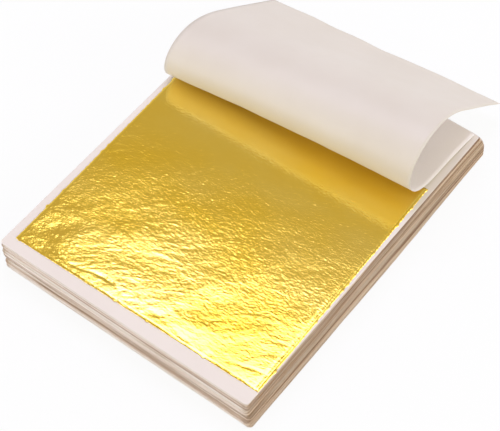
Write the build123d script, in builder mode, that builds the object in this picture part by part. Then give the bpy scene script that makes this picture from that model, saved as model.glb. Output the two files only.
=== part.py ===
from build123d import *
import os
from math import cos, pi, radians, sin

os.makedirs("parts", exist_ok=True)

# Booklet of metal leaf: a block of tissue pages glued along one edge, with one loose
# square of leaf lying on every page. The top page is turned: it curls up and back over
# the spine and shows the leaf below it. X runs along the spine, the spine is at +Y, the
# fore edge at -Y, and the block lies on Z = 0 with the origin under the middle of it.

# Sizes of the pages and the closed stack, in millimetres
page_width = 88.0
page_depth = 114.0
stack_height = 13.3
bundle_count = 10
bundle_pages = 10
page_count = bundle_count * bundle_pages

# Sizes of one square of leaf and how it lies on its page
leaf_width = 85.0
leaf_depth = 83.5
leaf_thickness = 0.02
fore_margin = 4.4
leaf_offset = 0.6
leaf_turn = 0.9
inner_leaf_turn = 0.5
leaf_drift = 0.3

# Unevenness of the cut edges: whole bundles slip, and single pages within them
bundle_slip = 0.8
page_slip = 0.12
slip_angle = 137.0
bundle_side_shares = [0.7, 0.1, 0.0, 0.5, -0.4, -0.2, -0.1, 0.1, 0.0, 0.1]
bundle_fore_shares = [1.0, 0.4, 0.2, 0.7, 0.9, 0.2, 0.0, 0.3, 0.1, 0.0]

# Rounded spine: how far it swells beyond the top page, and where it is widest
spine_swell = 5.0
swell_height = 1.9
glue_thickness = 0.25
glue_gap = 0.04
glue_end = 1.0
glue_top_gap = 0.5
glue_points = 9

# The turned page. Each of its two side edges lies nearly flat on the leaf, turns through
# the curl and then runs straight back and down behind the spine. The curl starts and ends
# at shares of the paper's length. A power below one brings the turn, or the sideways
# drift, earlier along it.
bound_strip = 4.0
root_gap = 0.15
turned_width = 87.0
turned_slip = -0.9
left_start_share = 0.3055
left_end_share = 0.72
left_root_angle = 2.15
left_low_angle = -0.7
left_back_angle = 214.3
left_turn_power = 0.53
left_side_drift = 1.85
right_start_share = 0.1718
right_end_share = 0.7327
right_root_angle = 5.1
right_low_angle = -2.4
right_back_angle = 220.7
right_turn_power = 0.77
right_side_drift = -2.7
drift_power = 0.65
strip_count = 55
strip_steps = 4

page_pitch = stack_height / page_count
page_thickness = page_pitch - leaf_thickness
turned_length = page_depth - bound_strip
leaf_middle = -page_depth / 2 + fore_margin + leaf_depth / 2


def spine_at(height):
    """Y of the rounded back of the block at a height above the table."""
    lean = (height - swell_height) / (stack_height - swell_height)
    return page_depth / 2 + spine_swell * cos(lean * pi / 2)


def side_shift(bundle, number):
    """Sideways slip of one page."""
    share = bundle_side_shares[bundle % len(bundle_side_shares)]
    return bundle_slip * share + page_slip * sin(radians(slip_angle * number))


def fore_shift(bundle, number):
    """How far one page's fore edge is set in."""
    share = bundle_fore_shares[bundle % len(bundle_fore_shares)]
    return bundle_slip * share + page_slip * cos(radians(slip_angle * number))


def make_page(bundle, number):
    """One flat page, cut square, from its fore edge to the rounded spine."""
    level = number * page_pitch
    fore = -page_depth / 2 + fore_shift(bundle, number)
    back = min(spine_at(level), spine_at(level + page_thickness))
    with BuildSketch(Plane.XY.offset(level)) as outline:
        with Locations((side_shift(bundle, number), (fore + back) / 2)):
            Rectangle(page_width, back - fore)
    extrude(to_extrude=outline.sketch, amount=page_thickness)


def make_leaf(bundle, number):
    """One loose square of leaf on top of its page, inside the page's edges."""
    level = number * page_pitch + page_thickness
    share = sin(radians(slip_angle * number))
    across = leaf_offset + side_shift(bundle, number) + leaf_drift * share
    along = leaf_middle + fore_shift(bundle, number) + leaf_drift * share
    turn = inner_leaf_turn * share
    with BuildSketch(Plane.XY.offset(level)) as outline:
        with Locations((across, along)):
            Rectangle(leaf_width, leaf_depth, rotation=turn)
    extrude(to_extrude=outline.sketch, amount=leaf_thickness)


# Ten bundles of pages with the leaves that lie on them. The last page of the top bundle
# lies open and is a piece of its own.
for bundle in range(bundle_count):
    first = bundle * bundle_pages
    last = min(first + bundle_pages, page_count - 1)
    with BuildPart() as pages:
        for number in range(first, last):
            make_page(bundle, number)
    page_name = f"pages_{bundle + 1:02d}"
    pages.part.label = page_name
    export_step(pages.part, f"parts/{page_name}.step")

    with BuildPart() as leaves:
        for number in range(first, last):
            make_leaf(bundle, number)
    leaf_name = f"leaves_{bundle + 1:02d}"
    leaves.part.label = leaf_name
    export_step(leaves.part, f"parts/{leaf_name}.step")

# The page that lies open, and the leaf on show on it
with BuildPart() as open_page:
    make_page(bundle_count - 1, page_count - 1)
open_page.part.label = "open_page"
export_step(open_page.part, "parts/open_page.step")

with BuildPart() as top_leaf:
    with BuildSketch(Plane.XY.offset(stack_height - leaf_thickness)):
        with Locations((leaf_offset, leaf_middle)):
            Rectangle(leaf_width, leaf_depth, rotation=leaf_turn)
    extrude(amount=leaf_thickness)
top_leaf.part.label = "top_leaf"
export_step(top_leaf.part, "parts/top_leaf.step")


# The padding glue: a thin film over the rounded ends of the pages, in two lengths so
# that the block opens at its middle
def glue_curve(low, high, stand_off):
    """Points up the back of the block, standing off the ends of the pages."""
    rise = (high - low) / (glue_points - 1)
    heights = [low + rise * point for point in range(glue_points)]
    return [(spine_at(height) + stand_off, height) for height in heights]


def make_glue(low, high):
    """A film of glue over the ends of the pages between two heights."""
    with BuildSketch(Plane.YZ) as section:
        with BuildLine():
            inner = Spline(*glue_curve(low, high, glue_gap))
            outer = Spline(*glue_curve(low, high, glue_gap + glue_thickness))
            Line(inner @ 0, outer @ 0)
            Line(inner @ 1, outer @ 1)
        make_face()
    extrude(to_extrude=section.sketch, amount=page_width / 2 - glue_end, both=True)


middle_level = page_pitch * page_count / 2

with BuildPart() as spine_glue_lower:
    make_glue(0, middle_level - leaf_thickness)
spine_glue_lower.part.label = "spine_glue_lower"
export_step(spine_glue_lower.part, "parts/spine_glue_lower.step")

with BuildPart() as spine_glue_upper:
    make_glue(middle_level, stack_height - page_pitch - glue_top_gap)
spine_glue_upper.part.label = "spine_glue_upper"
export_step(spine_glue_upper.part, "parts/spine_glue_upper.step")


# The turned page: two side edges, and flat strips of paper from one to the other
def edge_curve(side, start_share, end_share, root_angle, low_angle, back_angle, turn_power, drift):
    """Points along one side edge of the turned page, from the spine to its free corner."""
    steps = strip_count * strip_steps
    step = turned_length / steps
    y, z = page_depth / 2, stack_height + root_gap
    points = [Vector(side, y, z)]
    for count in range(steps):
        share = (count + 0.5) / steps
        lie = root_angle + (low_angle - root_angle) * min(share / start_share, 1)
        bent_share = min(max((share - start_share) / (end_share - start_share), 0), 1)
        turn = bent_share ** turn_power
        heading = radians(lie + (back_angle - lie) * (1 - cos(pi * turn)) / 2)
        y -= step * cos(heading)
        z += step * sin(heading)
        points.append(Vector(side + drift * ((count + 1) / steps) ** drift_power, y, z))
    return points[::strip_steps]


def inner_curve(points, rulings):
    """The same edge on the inner face of the paper, one page thickness away."""
    inner = []
    for place, point in enumerate(points):
        before = points[max(place - 1, 0)]
        after = points[min(place + 1, len(points) - 1)]
        square_off = (after - before).cross(rulings[place]).normalized()
        inner.append(point + square_off * page_thickness)
    return inner


def strip_between(start_a, end_a, start_b, end_b):
    """A straight-ruled face between two short lines."""
    return Face.make_surface_from_curves(
        Edge.make_line(start_a, end_a), Edge.make_line(start_b, end_b)
    )


left_edge = edge_curve(
    turned_slip - turned_width / 2, left_start_share, left_end_share, left_root_angle,
    left_low_angle, left_back_angle, left_turn_power, left_side_drift,
)
right_edge = edge_curve(
    turned_slip + turned_width / 2, right_start_share, right_end_share, right_root_angle,
    right_low_angle, right_back_angle, right_turn_power, right_side_drift,
)
rulings = [right - left for left, right in zip(left_edge, right_edge)]
left_inner = inner_curve(left_edge, rulings)
right_inner = inner_curve(right_edge, rulings)

paper_faces = []
sides = [
    (left_edge, right_edge),
    (left_inner, right_inner),
    (left_edge, left_inner),
    (right_edge, right_inner),
]
for one, other in sides:
    for strip in range(strip_count):
        after = strip + 1
        face = strip_between(one[strip], one[after], other[strip], other[after])
        paper_faces.append(face)
for end in (0, strip_count):
    face = strip_between(
        left_edge[end], right_edge[end], left_inner[end], right_inner[end]
    )
    paper_faces.append(face)

with BuildPart() as turned_page:
    add(Solid(Shell(paper_faces)))
turned_page.part.label = "turned_page"
export_step(turned_page.part, "parts/turned_page.step")
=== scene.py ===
import math

import bpy
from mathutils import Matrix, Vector, noise


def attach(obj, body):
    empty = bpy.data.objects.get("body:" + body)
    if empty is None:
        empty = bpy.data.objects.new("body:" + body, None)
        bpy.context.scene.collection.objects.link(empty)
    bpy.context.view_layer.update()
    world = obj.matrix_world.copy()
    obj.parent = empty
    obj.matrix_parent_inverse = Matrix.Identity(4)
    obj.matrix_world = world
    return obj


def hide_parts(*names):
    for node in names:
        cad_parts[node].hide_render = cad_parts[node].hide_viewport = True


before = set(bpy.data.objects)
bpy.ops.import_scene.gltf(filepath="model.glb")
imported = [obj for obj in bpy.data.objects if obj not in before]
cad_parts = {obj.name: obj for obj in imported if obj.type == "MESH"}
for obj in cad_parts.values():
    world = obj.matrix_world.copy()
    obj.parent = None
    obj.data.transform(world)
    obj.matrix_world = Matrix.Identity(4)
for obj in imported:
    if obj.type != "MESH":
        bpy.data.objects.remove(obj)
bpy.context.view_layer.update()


# The camera
# A long lens looks down on the front corner of the booklet, 37 degrees round from the fore
# edge and 54 degrees above the table, so the leaf fills the middle of the frame.
aim_point = Vector((0.006995, -0.006877, 0.0133))
camera_place = Vector((0.17997, -0.23550, 0.41227))
lens = bpy.data.cameras.new("long_lens")
lens.lens = 123.44
lens.sensor_width = 36.0
lens.clip_start = 0.01
camera = bpy.data.objects.new("camera", lens)
camera.location = camera_place
camera.rotation_euler = (aim_point - camera_place).to_track_quat("-Z", "Y").to_euler()
bpy.context.scene.collection.objects.link(camera)
bpy.context.scene.camera = camera


# The block of pages
# Ninety-nine thin tissue pages, cut square in one stack and then slipped a little against
# each other. They lie in soft clumps, so the cut edges make rounded ribs with dark grooves.
page_width = 0.088
page_depth = 0.114
stack_height = 0.0133
page_count = 100
bundle_pages = 10
leaf_thickness = 0.00002
page_pitch = stack_height / page_count
page_thickness = page_pitch - leaf_thickness

bundle_slip = 0.0008
page_slip = 0.00012
slip_angle = 137.0
bundle_side_shares = [0.7, 0.1, 0.0, 0.5, -0.4, -0.2, -0.1, 0.1, 0.0, 0.1]
bundle_fore_shares = [1.0, 0.4, 0.2, 0.7, 0.9, 0.2, 0.0, 0.3, 0.1, 0.0]

spine_swell = 0.005
swell_height = 0.0019
back_corner = 0.0007
back_arc_steps = 6
fore_arc_steps = 7
side_steps = 44

clump_pages = [8, 11, 15, 16, 13, 17, 20]
clump_corner_radii = [0.0013, 0.0010, 0.0012, 0.0009, 0.0011, 0.0009, 0.0008]
clump_groove = 0.00034
groove_power = 5
clump_places = [
    (clump, (place + 0.5) / pages)
    for clump, pages in enumerate(clump_pages)
    for place in range(pages)
]


def spine_at(height):
    """Y of the rounded back of the block at a height above the table."""
    lean = (height - swell_height) / (stack_height - swell_height)
    return page_depth / 2 + spine_swell * math.cos(lean * math.pi / 2)


def page_shift(number):
    """How far one page has slipped sideways, and how far its fore edge is set in."""
    bundle = number // bundle_pages
    turn = math.radians(slip_angle * number)
    side = bundle_slip * bundle_side_shares[bundle] + page_slip * math.sin(turn)
    fore = bundle_slip * bundle_fore_shares[bundle] + page_slip * math.cos(turn)
    return side, fore


def corner_arc(middle_x, middle_y, radius, start_angle, steps):
    """Points round a quarter circle, anticlockwise from its start angle."""
    turns = [math.radians(start_angle + 90 * step / steps) for step in range(steps + 1)]
    return [
        (middle_x + radius * math.cos(turn), middle_y + radius * math.sin(turn))
        for turn in turns
    ]


def cut_side(start_x, start_y, end_x, end_y):
    """Points along a straight cut, without its two ends."""
    shares = [step / side_steps for step in range(1, side_steps)]
    return [
        (start_x + (end_x - start_x) * share, start_y + (end_y - start_y) * share)
        for share in shares
    ]


def cut_outline(number, radius, inset):
    """One page's outline with its worn corners, from the back left corner round."""
    side, fore = page_shift(number)
    left = -page_width / 2 + side + inset
    right = page_width / 2 + side - inset
    front = -page_depth / 2 + fore + inset
    level = number * page_pitch
    back = min(spine_at(level), spine_at(level + page_thickness))
    turned_in = back - back_corner
    return (
        corner_arc(left + back_corner, turned_in, back_corner, 90, back_arc_steps)
        + cut_side(left, turned_in, left, front + radius)
        + corner_arc(left + radius, front + radius, radius, 180, fore_arc_steps)
        + cut_side(left + radius, front, right - radius, front)
        + corner_arc(right - radius, front + radius, radius, 270, fore_arc_steps)
        + cut_side(right, front + radius, right, turned_in)
        + corner_arc(right - back_corner, turned_in, back_corner, 0, back_arc_steps)
    )


edge_wander = 0.00022
fore_wander_share = 0.6
slow_bumps = 60
slow_layers = 900
quick_bumps = 260
quick_layers = 2600
quick_seed = 7
quick_share = 0.3
wander_end = 0.050
wander_fade = 0.010
hold_start = 0.015
hold_fade = 0.035
hold_share = 0.85


def clamp(value):
    """The value, kept between nought and one."""
    return min(1.0, max(0.0, value))


def wander(x, y, level):
    """How far the knife and handling have left a cut edge out of true."""
    slow = noise.noise(Vector((x * slow_bumps, y * slow_bumps, level * slow_layers)))
    quick_level = level * quick_layers + quick_seed
    quick = noise.noise(Vector((x * quick_bumps, y * quick_bumps, quick_level)))
    return edge_wander * ((1 - quick_share) * slow + quick_share * quick)


def worn_outline(number):
    """One page's outline, worn into its clump and held in line by the glue at the back."""
    clump, share = clump_places[number]
    dip = abs(2 * share - 1) ** groove_power
    level = number * page_pitch
    points = []
    for x, y in cut_outline(number, clump_corner_radii[clump], clump_groove * dip):
        shift = wander(x, y, level) * clamp((wander_end - y) / wander_fade)
        held = hold_share * clamp((y - hold_start) / hold_fade)
        x += -math.copysign(shift, x) - held * page_shift(number)[0]
        points.append((x, y + shift * fore_wander_share))
    return points


def add_slab(points, low, high, vertices, faces, groups, flat_group):
    """Add one flat page to a mesh; its cut sides are in material group 1."""
    start = len(vertices)
    count = len(points)
    vertices += [(x, y, low) for x, y in points] + [(x, y, high) for x, y in points]
    for step in range(count):
        after = (step + 1) % count
        faces.append((start + step, start + after, start + count + after, start + count + step))
        groups.append(1)
    faces.append(tuple(start + count - 1 - step for step in range(count)))
    faces.append(tuple(start + count + step for step in range(count)))
    groups += [flat_group, flat_group]


def make_piece(name, vertices, faces, materials, groups=None, smooth=True):
    """A new object from a list of points and faces."""
    mesh = bpy.data.meshes.new(name)
    mesh.from_pydata(vertices, [], faces)
    for material in materials:
        mesh.materials.append(material)
    if groups:
        mesh.polygons.foreach_set("material_index", groups)
    mesh.polygons.foreach_set("use_smooth", [smooth] * len(mesh.polygons))
    mesh.update()
    piece = bpy.data.objects.new(name, mesh)
    bpy.context.scene.collection.objects.link(piece)
    return piece


def feed(tree, socket, source):
    """Give an input a plain value, or link it to the output that feeds it."""
    if isinstance(source, bpy.types.NodeSocket):
        tree.links.new(source, socket)
    else:
        socket.default_value = source


def add_node(tree, kind, **sources):
    """A new node with its named inputs fed."""
    node = tree.nodes.new(kind)
    for label, source in sources.items():
        feed(tree, node.inputs[label.replace("_", " ")], source)
    return node


def math_value(tree, operation, *sources):
    """The result of one Math node."""
    node = tree.nodes.new("ShaderNodeMath")
    node.operation = operation
    for socket, source in zip(node.inputs, sources):
        feed(tree, socket, source)
    return node.outputs[0]


def stretched(tree, place, scale, shift=(0.0, 0.0, 0.0)):
    """A place on the object, scaled and shifted for the texture that reads it."""
    node = tree.nodes.new("ShaderNodeVectorMath")
    node.operation = "MULTIPLY_ADD"
    for socket, source in zip(node.inputs, (place, scale, shift)):
        feed(tree, socket, source)
    return node.outputs[0]


def noise_value(tree, place, **settings):
    """A noise texture's value at a place."""
    return add_node(tree, "ShaderNodeTexNoise", Vector=place, **settings).outputs["Fac"]


def object_place(tree):
    """The place of a point in the booklet's own frame."""
    return tree.nodes.new("ShaderNodeTexCoord").outputs["Object"]


def ramp(tree, source, *stops):
    """A colour picked from stops by a value."""
    node = add_node(tree, "ShaderNodeValToRGB", Fac=source)
    while len(node.color_ramp.elements) < len(stops):
        node.color_ramp.elements.new(0.5)
    for element, (place, color) in zip(node.color_ramp.elements, stops):
        element.position = place
        element.color = (*color, 1.0)
    return node.outputs["Color"]


def mixed(tree, blend, share, color, other):
    """Two colours mixed or multiplied by a share."""
    node = tree.nodes.new("ShaderNodeMix")
    node.data_type = "RGBA"
    node.blend_type = blend
    for label, source in (("Factor", share), ("A", color), ("B", other)):
        feed(tree, node.inputs[label], source)
    return node.outputs["Result"]


def new_group(name, inputs, outputs):
    """A node group with named value inputs and outputs."""
    tree = bpy.data.node_groups.new(name, "ShaderNodeTree")
    for label, value in inputs.items():
        socket = tree.interface.new_socket(label, in_out="INPUT", socket_type="NodeSocketFloat")
        socket.default_value = value
    for label in outputs:
        tree.interface.new_socket(label, in_out="OUTPUT", socket_type="NodeSocketFloat")
    return tree, tree.nodes.new("NodeGroupInput"), tree.nodes.new("NodeGroupOutput")


def use_group(tree, group):
    """One use of a node group in a material."""
    node = tree.nodes.new("ShaderNodeGroup")
    node.node_tree = group
    return node


def new_material(name, **settings):
    """A material, its node tree and its shader."""
    material = bpy.data.materials.new(name)
    material.use_nodes = True
    tree = material.node_tree
    shader = tree.nodes["Principled BSDF"]
    for label, value in settings.items():
        shader.inputs[label.replace("_", " ")].default_value = value
    return material, tree, shader


def finish_surface(tree, shader, color, height, strength, distance):
    """Feed a shader its colour, and the relief that lifts its surface."""
    relief = add_node(
        tree, "ShaderNodeBump", Height=height, Strength=strength, Distance=distance
    )
    tree.links.new(color, shader.inputs["Base Color"])
    tree.links.new(relief.outputs["Normal"], shader.inputs["Normal"])


# Tissue fibres: a cloudy mottle from the pulp, and fine crossed fibres that lift the surface.
fibres, fibres_in, fibres_out = new_group(
    "tissue_fibres", {"Cloud Scale": 60.0, "Fibre Scale": 900.0}, ["Cloud", "Fibre"]
)
fibre_place = object_place(fibres)
pulp_cloud = noise_value(
    fibres, fibre_place, Scale=fibres_in.outputs["Cloud Scale"], Detail=3.0, Roughness=0.55
)
long_fibre = noise_value(
    fibres, stretched(fibres, fibre_place, (1.0, 0.35, 1.0)),
    Scale=fibres_in.outputs["Fibre Scale"], Detail=4.0, Roughness=0.65, Distortion=0.6,
)
fibres.links.new(pulp_cloud, fibres_out.inputs["Cloud"])
fibres.links.new(long_fibre, fibres_out.inputs["Fibre"])


def tissue(name, clear, cloudy, roughness):
    """Thin tissue paper, a little paler where its pulp is even."""
    material, tree, shader = new_material(name, Roughness=roughness, IOR=1.45)
    pulp = use_group(tree, fibres)
    color = ramp(tree, pulp.outputs["Cloud"], (0.30, cloudy), (0.70, clear))
    finish_surface(tree, shader, color, pulp.outputs["Fibre"], 0.25, 0.00002)
    return material


page_paper = tissue("page_paper", (0.84, 0.78, 0.70), (0.82, 0.755, 0.675), 0.55)

# Cut edges: many page ends packed together read as long fine lines, some pale and some brown.
cut_edges, cut_tree, cut_shader = new_material("cut_page_edges", Roughness=0.7, IOR=1.4)
cut_place = cut_tree.nodes.new("ShaderNodeTexCoord")
broad_bands = noise_value(
    cut_tree, stretched(cut_tree, cut_place.outputs["Object"], (4.0, 4.0, 820.0), (0.0, 0.0, 4.3)),
    Scale=1.0, Detail=2.0, Roughness=0.6,
)
fine_lines = noise_value(
    cut_tree, stretched(cut_tree, cut_place.outputs["Object"], (10.0, 10.0, 1900.0)),
    Scale=1.0, Detail=3.0, Roughness=0.7,
)
band_color = ramp(
    cut_tree, broad_bands,
    (0.40, (0.78, 0.68, 0.60)), (0.46, (0.90, 0.81, 0.74)),
    (0.51, (0.96, 0.90, 0.84)), (0.57, (0.99, 0.95, 0.91)),
)
line_color = ramp(
    cut_tree, fine_lines,
    (0.42, (0.58, 0.48, 0.40)), (0.46, (0.88, 0.82, 0.76)), (0.50, (1.0, 1.0, 1.0)),
)
edge_color = mixed(cut_tree, "MULTIPLY", 0.95, band_color, line_color)

# On the two long sides the leaf comes nearly to the edge. There the cut paper is painted darker
# and browner, as painted shade with painted glints of the gold leaf, and the flat strips of the
# pages that have slipped are painted so more thinly.
side_shade_start = 0.0415
side_shade_end = 0.0432
strip_shade_share = 0.42
cut_facing = add_node(cut_tree, "ShaderNodeSeparateXYZ", Vector=cut_place.outputs["Normal"])
cut_across = add_node(cut_tree, "ShaderNodeSeparateXYZ", Vector=cut_place.outputs["Object"])
side_share = math_value(cut_tree, "ABSOLUTE", cut_facing.outputs["X"])
strip_share = add_node(
    cut_tree, "ShaderNodeMapRange",
    Value=math_value(cut_tree, "ABSOLUTE", cut_across.outputs["X"]),
    From_Min=side_shade_start, From_Max=side_shade_end, To_Max=strip_shade_share,
)
shade_and_glint_share = math_value(cut_tree, "MAXIMUM", side_share, strip_share.outputs["Result"])
# Dark brown and tan bands for the sides: painted shade and painted gold glints.
shade_and_glint_color = ramp(
    cut_tree, broad_bands,
    (0.43, (0.36, 0.24, 0.13)), (0.47, (0.62, 0.47, 0.31)),
    (0.505, (0.84, 0.73, 0.58)), (0.54, (0.42, 0.29, 0.15)),
)
shaded_glinting_edge = mixed(cut_tree, "MULTIPLY", shade_and_glint_share, edge_color, shade_and_glint_color)
finish_surface(cut_tree, cut_shader, shaded_glinting_edge, fine_lines, 0.5, 0.00006)

# The flat faces of these pages come into view, at rest or as a joint opens, so they stay
# plain paper. Of the others only narrow strips show, which read as part of the cut edges.
pages_laid_bare = (0, 49, 50, 98)
for bundle in range(page_count // bundle_pages):
    first = bundle * bundle_pages
    vertices, faces, groups = [], [], []
    for number in range(first, min(first + bundle_pages, page_count - 1)):
        level = number * page_pitch
        flat_group = 0 if number in pages_laid_bare else 1
        outline = worn_outline(number)
        add_slab(outline, level, level + page_thickness, vertices, faces, groups, flat_group)
    pages = make_piece(
        f"page_clump_{bundle + 1:02d}", vertices, faces, [page_paper, cut_edges], groups, False
    )
    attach(pages, "lower_block" if first < page_count // 2 else "upper_block")
    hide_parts(f"pages_{bundle + 1:02d}")


# The leaves between the pages
# Ninety-nine loose squares of beaten metal, one on each page, about a thousandth of a
# millimetre thick in the real booklet. Mostly their rims show, deep in the cut edges.
crinkles, crinkles_in, crinkles_out = new_group(
    "leaf_crinkles", {"Worm Scale": 420.0, "Grain Scale": 1500.0}, ["Height", "Tone"]
)
leaf_place = object_place(crinkles)
leaf_turned = add_node(
    crinkles, "ShaderNodeMapping",
    Vector=leaf_place, Rotation=(0.0, 0.0, math.radians(-37.0)), Scale=(0.55, 1.0, 1.0),
).outputs["Vector"]
worms = noise_value(
    crinkles, leaf_turned,
    Scale=crinkles_in.outputs["Worm Scale"], Detail=3.0, Roughness=0.6, Distortion=0.8,
)
grain = noise_value(
    crinkles, leaf_turned,
    Scale=crinkles_in.outputs["Grain Scale"], Detail=2.0, Roughness=0.6, Distortion=0.3,
)
tone = noise_value(crinkles, leaf_turned, Scale=45.0, Detail=3.0, Roughness=0.5)
worm_fold = math_value(crinkles, "SUBTRACT", worms, 0.5)
worm_crest = math_value(crinkles, "ABSOLUTE", worm_fold)
grain_share = 0.62
crinkle = math_value(crinkles, "MULTIPLY_ADD", grain, grain_share, worm_crest)
# The back half lies smooth, and the crinkles come up towards the fore edge.
smooth_end = 0.008
rough_start = -0.022
smooth_share = 0.62
leaf_split = add_node(crinkles, "ShaderNodeSeparateXYZ", Vector=leaf_place)
fore_share = add_node(
    crinkles, "ShaderNodeMapRange", Value=leaf_split.outputs["Y"],
    From_Min=smooth_end, From_Max=rough_start, To_Min=smooth_share, To_Max=1.0,
)
crinkle_height = math_value(crinkles, "MULTIPLY", fore_share.outputs["Result"], crinkle)
crinkles.links.new(crinkle_height, crinkles_out.inputs["Height"])
crinkles.links.new(tone, crinkles_out.inputs["Tone"])


def beaten_metal(name, deep, bright, roughness, relief):
    """Crinkled brass-like leaf, a little deeper in colour here and there."""
    material, tree, shader = new_material(name, Metallic=1.0, Roughness=roughness)
    folds = use_group(tree, crinkles)
    color = ramp(tree, folds.outputs["Tone"], (0.30, deep), (0.70, bright))
    finish_surface(tree, shader, color, folds.outputs["Height"], 1.0, relief)
    return material


hidden_leaf = beaten_metal("hidden_leaf", (0.86, 0.52, 0.09), (0.95, 0.62, 0.12), 0.3, 0.00012)
for bundle in range(page_count // bundle_pages):
    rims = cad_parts[f"leaves_{bundle + 1:02d}"]
    rims.data.materials.clear()
    rims.data.materials.append(hidden_leaf)


# The glued spine
# A thin coat of padding glue, brushed over the clamped back edges and left to dry. It holds
# the pages and nothing else does, and it dries a little uneven over the page ends.
padding_glue, glue_tree, glue_shader = new_material("padding_glue", Roughness=0.42, IOR=1.48)
brush_marks = noise_value(
    glue_tree, stretched(glue_tree, object_place(glue_tree), (40.0, 40.0, 1400.0)),
    Scale=1.0, Detail=4.0, Roughness=0.6,
)
glue_color = ramp(glue_tree, brush_marks, (0.3, (0.66, 0.57, 0.48)), (0.7, (0.84, 0.78, 0.71)))
finish_surface(glue_tree, glue_shader, glue_color, brush_marks, 0.6, 0.0001)


def close_sheet(top, bottom, columns, rows):
    """The points and faces of a thin closed sheet from its two grids of points."""
    vertices = top + bottom
    across = columns + 1
    below = len(top)
    faces = []
    for row in range(rows):
        for column in range(columns):
            a = row * across + column
            faces.append((a, a + 1, a + across + 1, a + across))
            faces.append((below + a, below + a + across, below + a + across + 1, below + a + 1))
    for column in range(columns):
        a, b = column, rows * across + column
        faces.append((a, below + a, below + a + 1, a + 1))
        faces.append((b, b + 1, below + b + 1, below + b))
    for row in range(rows):
        a, b = row * across, row * across + columns
        faces.append((a, a + across, below + a + across, below + a))
        faces.append((b, below + b, below + b + across, b + across))
    return vertices, faces


def corner_rise(radius, past):
    """How far a rounded corner stands back, at a distance past the start of its arc."""
    return radius - math.sqrt(radius ** 2 - min(max(past, 0.0), radius) ** 2)


glue_gap = 0.00004
glue_thickness = 0.00025
glue_end = 0.0011
glue_half_width = page_width / 2 - glue_end
glue_top_gap = 0.0005
glue_columns = 90
glue_rows = 24
uneven_share = 0.25
brush_bumps = 90
brush_layers = 900
brush_seed = 3.0
thin_end_share = 0.04
end_thickness_share = 0.2
middle_level = page_pitch * page_count / 2
glue_lengths = {
    "lower": (0.0, middle_level - leaf_thickness),
    "upper": (middle_level, stack_height - page_pitch - glue_top_gap),
}
for part, (low, high) in glue_lengths.items():
    inner, outer = [], []
    for row in range(glue_rows + 1):
        z = low + (high - low) * row / glue_rows
        for column in range(glue_columns + 1):
            x = glue_half_width * (2 * column / glue_columns - 1)
            past = abs(x) - (page_width / 2 - back_corner)
            y = spine_at(z) + glue_gap - corner_rise(back_corner, past)
            brushed = noise.noise(Vector((x * brush_bumps, z * brush_layers, brush_seed)))
            brushed = 1 - uneven_share + uneven_share * brushed
            thinned = min(1.0, (1 - abs(x) / glue_half_width) / thin_end_share)
            thinned = end_thickness_share + (1 - end_thickness_share) * thinned
            inner.append((x, y, z))
            outer.append((x, y + glue_thickness * brushed * thinned, z))
    vertices, faces = close_sheet(outer, inner, glue_columns, glue_rows)
    film = make_piece(f"glue_film_{part}", vertices, faces, [padding_glue])
    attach(film, f"{part}_block")
    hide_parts(f"spine_glue_{part}")


# The open page
# The hundredth page, still flat on the block, carries the leaf that is on show. Its free
# corners are a little soft from handling, and the front one has lifted by a hair.
open_corner = 0.0011
corner_lift = 0.00028
lift_reach = 0.007
sheet_clearance = 0.000004
sheet_columns = 60
sheet_rows = 78
close_margin = 0.003
close_share = 0.15
close_power = 1.5


def graded(step, steps, length):
    """A share of the length at one step, with the steps closer near both edges."""
    near = int(steps * close_share)
    margin = close_margin / length
    if step <= near:
        return margin * (step / near) ** close_power
    if step >= steps - near:
        return 1 - margin * ((steps - step) / near) ** close_power
    return margin + (1 - 2 * margin) * (step - near) / (steps - 2 * near)


def rounded(left, right, front, back, x, y):
    """A point of a square sheet, pulled in where the sheet's corners are rounded."""
    near_side = min(x - left, right - x)
    if y - front < open_corner:
        y = max(y, front + corner_rise(open_corner, open_corner - near_side))
    if back - y < back_corner:
        y = min(y, back - corner_rise(back_corner, back_corner - near_side))
    return x, y


def lifted_corner(x, y):
    """How high the front right corner has lifted at a point."""
    away = math.hypot(x - page_width / 2, y + page_depth / 2)
    return corner_lift * max(0.0, 1 - away / lift_reach) ** 2


last_page = page_count - 1
side, fore = page_shift(last_page)
open_level = last_page * page_pitch
left, right = -page_width / 2 + side, page_width / 2 + side
front, back = -page_depth / 2 + fore, spine_at(open_level + page_thickness)
top, bottom = [], []
for row in range(sheet_rows + 1):
    for column in range(sheet_columns + 1):
        x = left + (right - left) * graded(column, sheet_columns, page_width)
        y = front + (back - front) * graded(row, sheet_rows, page_depth)
        x, y = rounded(left, right, front, back, x, y)
        lift = lifted_corner(x, y)
        top.append((x, y, open_level + page_thickness + lift))
        bottom.append((x, y, open_level + sheet_clearance + lift))
vertices, faces = close_sheet(top, bottom, sheet_columns, sheet_rows)
open_paper = tissue("open_page_paper", (0.84, 0.78, 0.685), (0.82, 0.755, 0.66), 0.5)
open_sheet = make_piece("open_sheet", vertices, faces, [open_paper])
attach(open_sheet, "open_page")
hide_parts("open_page")


# The leaf on show
# One square of gold-coloured beaten metal, lying loose on its page. It is so thin that it
# takes a net of worm-like crinkles, a folded rim along two sides and torn, ragged edges.
leaf_width = 0.085
leaf_depth = 0.0835
fore_margin = 0.0044
leaf_offset = 0.0006
leaf_turn = math.radians(0.9)
leaf_middle = -page_depth / 2 + fore_margin + leaf_depth / 2
leaf_columns = 300
leaf_rows = 296
leaf_base = stack_height + 0.00002
leaf_rest = 0.00022
leaf_low = 0.00003
leaf_film = 0.000015

# Bumps are counted per metre, and so are the other bumps on the leaf.
tear_coarse = 0.00012
tear_fine = 0.00015
tear_nick = 0.0011
coarse_bumps = 160
fine_bumps = 1100
nick_bumps = 520
nick_start = 0.35
tear_power = 24


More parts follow.
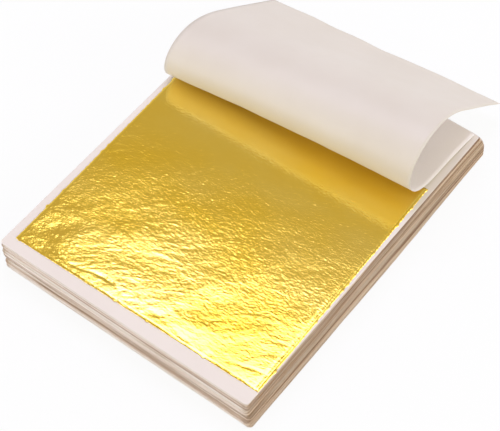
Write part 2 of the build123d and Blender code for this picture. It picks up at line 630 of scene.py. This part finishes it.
def ragged(along, side_number):
    """How far the torn edge stands out at a place along one of the four sides."""
    coarse = noise.noise(Vector((along * coarse_bumps, side_number * 9.1, 0.0)))
    fine = noise.noise(Vector((along * fine_bumps, side_number * 5.3, 2.0)))
    nick = noise.noise(Vector((along * nick_bumps, side_number * 3.7, 5.0)))
    return tear_coarse * coarse + tear_fine * fine - tear_nick * max(0.0, nick - nick_start)


crinkle_angle = math.radians(33.0)
crinkle_seed = 3.7
worm_height = 0.000020
grain_height = 0.000007
billow_height = 0.00009
worm_bumps = Vector((150, 370, 0))
grain_bumps = Vector((420, 1000, 0))
billow_bumps = Vector((48, 115, 0))
bend_bumps = 55
back_crinkle_share = 0.36
middle_crinkle_share = 0.55
fore_crinkle_share = 0.65
middle_start = 0.012
middle_fade = 0.03
fore_start = -0.012
fore_fade = 0.025
right_calm_share = 0.3
right_calm_reach = 0.04


def crinkle_share(x, y):
    """How strongly the leaf is crinkled: little at the back, most near the fore edge."""
    share = back_crinkle_share
    share += middle_crinkle_share * clamp((middle_start - y) / middle_fade)
    share += fore_crinkle_share * clamp((fore_start - y) / fore_fade)
    return share * (1.0 - right_calm_share * clamp(x / right_calm_reach))


def crumple(x, y):
    """Height of the crinkles, which run slantwise across the leaf."""
    run = x * math.cos(crinkle_angle) + y * math.sin(crinkle_angle)
    rise = -x * math.sin(crinkle_angle) + y * math.cos(crinkle_angle)
    place = Vector((run, rise, 0.0))
    bend = noise.noise(Vector((x * bend_bumps, y * bend_bumps, crinkle_seed)))
    worm_place = place * worm_bumps + Vector((2.0 * bend, 1.5 * bend, crinkle_seed))
    grain_place = place * grain_bumps + Vector((0.0, 3.0 * bend, crinkle_seed + 8))
    billow_place = place * billow_bumps + Vector((bend, 0.0, crinkle_seed + 4))
    height = worm_height * noise.ridged_multi_fractal(worm_place, 0.9, 2.2, 3, 1.0, 2.0)
    height += grain_height * noise.noise(grain_place)
    height += billow_height * noise.noise(billow_place)
    return crinkle_share(x, y) * height


rim_inset = 0.0011
rim_meander = 0.0007
meander_bumps = 60
break_bumps = 170
whole_fold_share = 0.25
right_fold_depth = 0.00009
right_fold_width = 0.00045
front_fold_depth = 0.00012
front_fold_width = 0.0007


def rim_folds(x, y):
    """Depth of the pressed folds along the right rim and the fore rim."""
    from_right = leaf_width / 2 - x
    from_front = y + leaf_depth / 2
    meander = rim_meander * noise.noise(Vector((x * meander_bumps, y * meander_bumps, 9.0)))
    right_place = (from_right - rim_inset + meander * 0.5) / right_fold_width
    front_place = (from_front - 3 * rim_inset + 5 * meander) / front_fold_width
    fading = clamp((middle_start - y) / middle_fade)
    broken = noise.noise(Vector((x * break_bumps, y * break_bumps, 12.0)))
    broken = max(0.0, broken + whole_fold_share)
    right_fold = right_fold_depth * fading * math.exp(-right_place ** 2)
    front_fold = front_fold_depth * broken * math.exp(-front_place ** 2)
    return -right_fold - front_fold


back_flat_share = 0.6
back_flat_start = 0.005
back_flat_fade = 0.02
rim_height_share = 0.25
rim_reach = 0.0009


def leaf_height(x, y):
    """Height of the leaf over its page, which falls away close to the rim."""
    relief_share = 1.0 - back_flat_share * clamp((y - back_flat_start) / back_flat_fade)
    height = leaf_rest + relief_share * (crumple(x, y) + rim_folds(x, y))
    to_rim = max(0.0, min(leaf_width / 2 - abs(x), leaf_depth / 2 - abs(y)))
    return max(leaf_low, height * min(1.0, rim_height_share + to_rim / rim_reach))


top, bottom = [], []
for row in range(leaf_rows + 1):
    for column in range(leaf_columns + 1):
        u = column / leaf_columns
        v = row / leaf_rows
        x = leaf_width * (u - 0.5)
        y = leaf_depth * (v - 0.5)
        near_side = abs(2 * u - 1) ** tear_power
        near_end = abs(2 * v - 1) ** tear_power
        x += math.copysign(ragged(y, 1 if u > 0.5 else 2) * near_side, u - 0.5)
        y += math.copysign(ragged(x, 3 if v > 0.5 else 4) * near_end, v - 0.5)
        z = leaf_base + leaf_height(x, y)
        across = leaf_offset + x * math.cos(leaf_turn) - y * math.sin(leaf_turn)
        along = leaf_middle + x * math.sin(leaf_turn) + y * math.cos(leaf_turn)
        top.append((across, along, z))
        bottom.append((across, along, z - leaf_film))
vertices, faces = close_sheet(top, bottom, leaf_columns, leaf_rows)
gold_leaf = beaten_metal("gold_leaf", (1.0, 0.70, 0.07), (1.0, 0.77, 0.18), 0.12, 0.00007)
leaf_sheet = make_piece("leaf_sheet", vertices, faces, [gold_leaf])
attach(leaf_sheet, "top_leaf")
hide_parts("top_leaf")


# The turned page
# The page that covered the leaf, rolled back over the spine so that its free edge hangs
# behind the block. The roll is wider at the right, so it runs out into a slanting cone.
bound_strip = 0.004
turned_length = page_depth - bound_strip
turned_width = 0.087
turned_slip = -0.0009
root_gap = 0.00015
drift_power = 0.65
left_root_corner = 0.0026
# Each side edge lies nearly flat from the root to its low angle, turns through the curl
# between two shares of its length, and runs on at its back angle, in degrees.
left_curl = {
    "side": turned_slip - turned_width / 2,
    "start_share": 0.3055,
    "end_share": 0.72,
    "root_angle": 2.15,
    "low_angle": -0.7,
    "back_angle": 214.3,
    "turn_power": 0.53,
    "side_drift": 0.00185,
}
right_curl = {
    "side": turned_slip + turned_width / 2,
    "start_share": 0.1718,
    "end_share": 0.7327,
    "root_angle": 5.1,
    "low_angle": -2.4,
    "back_angle": 220.7,
    "turn_power": 0.77,
    "side_drift": -0.0027,
}
curl_rows = 260
curl_columns = 64
slow_wave = 0.0003
quick_wave = 0.0002
settle_share = 0.35


def curl_edge(curl):
    """Points along one side edge of the turned page, from the spine to its free corner."""
    step = turned_length / curl_rows
    y, z = page_depth / 2, stack_height + root_gap
    points = [Vector((curl["side"], y, z))]
    for count in range(curl_rows):
        share = (count + 0.5) / curl_rows
        settled = min(share / curl["start_share"], 1.0)
        lie = curl["root_angle"] + (curl["low_angle"] - curl["root_angle"]) * settled
        bent = (share - curl["start_share"]) / (curl["end_share"] - curl["start_share"])
        bent = (1 - math.cos(math.pi * clamp(bent) ** curl["turn_power"])) / 2
        heading = math.radians(lie + (curl["back_angle"] - lie) * bent)
        y -= step * math.cos(heading)
        z += step * math.sin(heading)
        drift = curl["side_drift"] * ((count + 1) / curl_rows) ** drift_power
        points.append(Vector((curl["side"] + drift, y, z)))
    return points


left_points = curl_edge(left_curl)
right_points = curl_edge(right_curl)
outer, inner = [], []
for row in range(curl_rows + 1):
    run = row / curl_rows
    before, after = max(row - 1, 0), min(row + 1, curl_rows)
    from_root = turned_length * row / curl_rows
    left_tuck = corner_rise(left_root_corner, left_root_corner - from_root) / turned_width
    right_tuck = corner_rise(back_corner, back_corner - from_root) / turned_width
    ruling = right_points[row] - left_points[row]
    for column in range(curl_columns + 1):
        u = left_tuck + (1 - left_tuck - right_tuck) * column / curl_columns
        point = left_points[row].lerp(right_points[row], u)
        along = left_points[after].lerp(right_points[after], u)
        along -= left_points[before].lerp(right_points[before], u)
        normal = along.cross(ruling).normalized()
        wave = slow_wave * noise.noise(Vector((u * 3.1, run * 4.3, 1.0)))
        wave += quick_wave * noise.noise(Vector((u * 9.0, run * 2.2, 5.0)))
        point += normal * wave * min(1.0, run / settle_share)
        outer.append(tuple(point))
        inner.append(tuple(point + normal * page_thickness))
vertices, faces = close_sheet(inner, outer, curl_columns, curl_rows)
# The same tissue as the open page, painted darker on the outside as painted shade, and paler on
# the inside as painted light that stands in for the light through the thin tissue.
shaded_turned_paper = tissue("turned_page_shaded_paper", (0.725, 0.675, 0.575), (0.70, 0.645, 0.54), 0.5)
lit_inside_paper = tissue("turned_page_lit_inside", (0.91, 0.86, 0.82), (0.89, 0.84, 0.80), 0.5)
# The grid's faces come in turn from the inside and the outside of the page, then its edges.
turned_groups = [1, 0] * (curl_columns * curl_rows)
turned_groups += [0] * (len(faces) - len(turned_groups))
turned_sheet = make_piece(
    "turned_sheet", vertices, faces, [shaded_turned_paper, lit_inside_paper], turned_groups
)
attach(turned_sheet, "turned_page")
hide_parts("turned_page")


# The table, the room and the lamps
# A plain white sweep under a warm grey ceiling. The leaf mirrors the ceiling and a soft box
# hung high over the back of the booklet. A low window in front lights the fore face and the
# underside of the curl, and one at the right shines into the roll.
sweep_reach = 2.0
sweep_drop = 0.0002
sweep_corners = [
    (x * sweep_reach, y * sweep_reach, -sweep_drop)
    for x, y in ((-1, -1), (1, -1), (1, 1), (-1, 1))
]


def seen_plainly(tree):
    """One for a ray from the camera or off shiny metal or glass, and nought for the rest."""
    path = tree.nodes.new("ShaderNodeLightPath")
    shiny = math_value(
        tree, "MAXIMUM", path.outputs["Is Glossy Ray"], path.outputs["Is Transmission Ray"]
    )
    return math_value(tree, "MAXIMUM", path.outputs["Is Camera Ray"], shiny)


sweep_white, sweep_tree, sweep_shader = new_material(
    "sweep_white", Base_Color=(0.9, 0.9, 0.9, 1.0), Roughness=0.9
)
sweep_glow = add_node(sweep_tree, "ShaderNodeEmission", Color=(1.0, 1.0, 1.0, 1.0), Strength=1.0)
glow_share = 0.92
sweep_mix = add_node(
    sweep_tree, "ShaderNodeMixShader",
    Fac=math_value(sweep_tree, "MULTIPLY", seen_plainly(sweep_tree), glow_share),
)
sweep_tree.links.new(sweep_shader.outputs["BSDF"], sweep_mix.inputs[1])
sweep_tree.links.new(sweep_glow.outputs["Emission"], sweep_mix.inputs[2])
sweep_out = sweep_tree.nodes["Material Output"]
sweep_tree.links.new(sweep_mix.outputs[0], sweep_out.inputs["Surface"])
white_sweep = make_piece("white_sweep", sweep_corners, [(0, 1, 2, 3)], [sweep_white], smooth=False)

# The metal mirrors the room's own tones, so only the camera sees the room as plain white.
room = bpy.data.worlds.new("studio_room")
room.use_nodes = True
bpy.context.scene.world = room
room_tree = room.node_tree
room_place = room_tree.nodes.new("ShaderNodeTexCoord").outputs["Generated"]
room_split = add_node(room_tree, "ShaderNodeSeparateXYZ", Vector=room_place)
room_tones = ramp(
    room_tree, room_split.outputs["Z"],
    (0.0, (1.25, 1.25, 1.25)), (0.15, (1.1, 1.1, 1.1)),
    (0.62, (0.54, 0.475, 0.37)), (1.0, (0.515, 0.435, 0.30)),
)
room_path = room_tree.nodes.new("ShaderNodeLightPath")
room_color = mixed(
    room_tree, "MIX", room_path.outputs["Is Camera Ray"], room_tones, (1.0, 1.0, 1.0, 1.0)
)
room_light = room_tree.nodes["Background"]
room_tree.links.new(room_color, room_light.inputs["Color"])
room_light.inputs["Strength"].default_value = 1.0


def hang_lamp(name, place, target, width, depth, watts):
    """A square lamp that faces a target and that the camera doesn't see."""
    light = bpy.data.lights.new(name, "AREA")
    light.shape = "RECTANGLE"
    light.size = width
    light.size_y = depth
    light.energy = watts
    lamp = bpy.data.objects.new(name, light)
    lamp.location = place
    lamp.rotation_euler = (Vector(target) - Vector(place)).to_track_quat("-Z", "Y").to_euler()
    lamp.visible_camera = False
    bpy.context.scene.collection.objects.link(lamp)
    return lamp


box_turn = (0.0, 0.0, math.radians(13.0))
soft_box = hang_lamp(
    "soft_box", place=(-0.11, 0.10, 0.60), target=(-0.11, 0.10, 0.0),
    width=0.32, depth=0.27, watts=1.0,
)
soft_box.rotation_euler = box_turn
soft_box.data.color = (0.93, 0.97, 1.75)
# A fainter, wider lamp just above it blurs the edge of its reflection.
soft_edge = hang_lamp(
    "soft_edge", place=(-0.10, 0.12, 0.61), target=(-0.10, 0.12, 0.0),
    width=0.42, depth=0.38, watts=0.28,
)
soft_edge.rotation_euler = box_turn
hang_lamp(
    "front_window", place=(-0.25, -0.90, 0.06), target=(0.0, 0.0, 0.02),
    width=0.9, depth=0.3, watts=2.9,
)
hang_lamp(
    "side_window", place=(0.72, 0.20, 0.42), target=(0.04, 0.05, 0.02),
    width=0.5, depth=0.3, watts=2.2,
)

bpy.context.scene.view_settings.view_transform = "Standard"
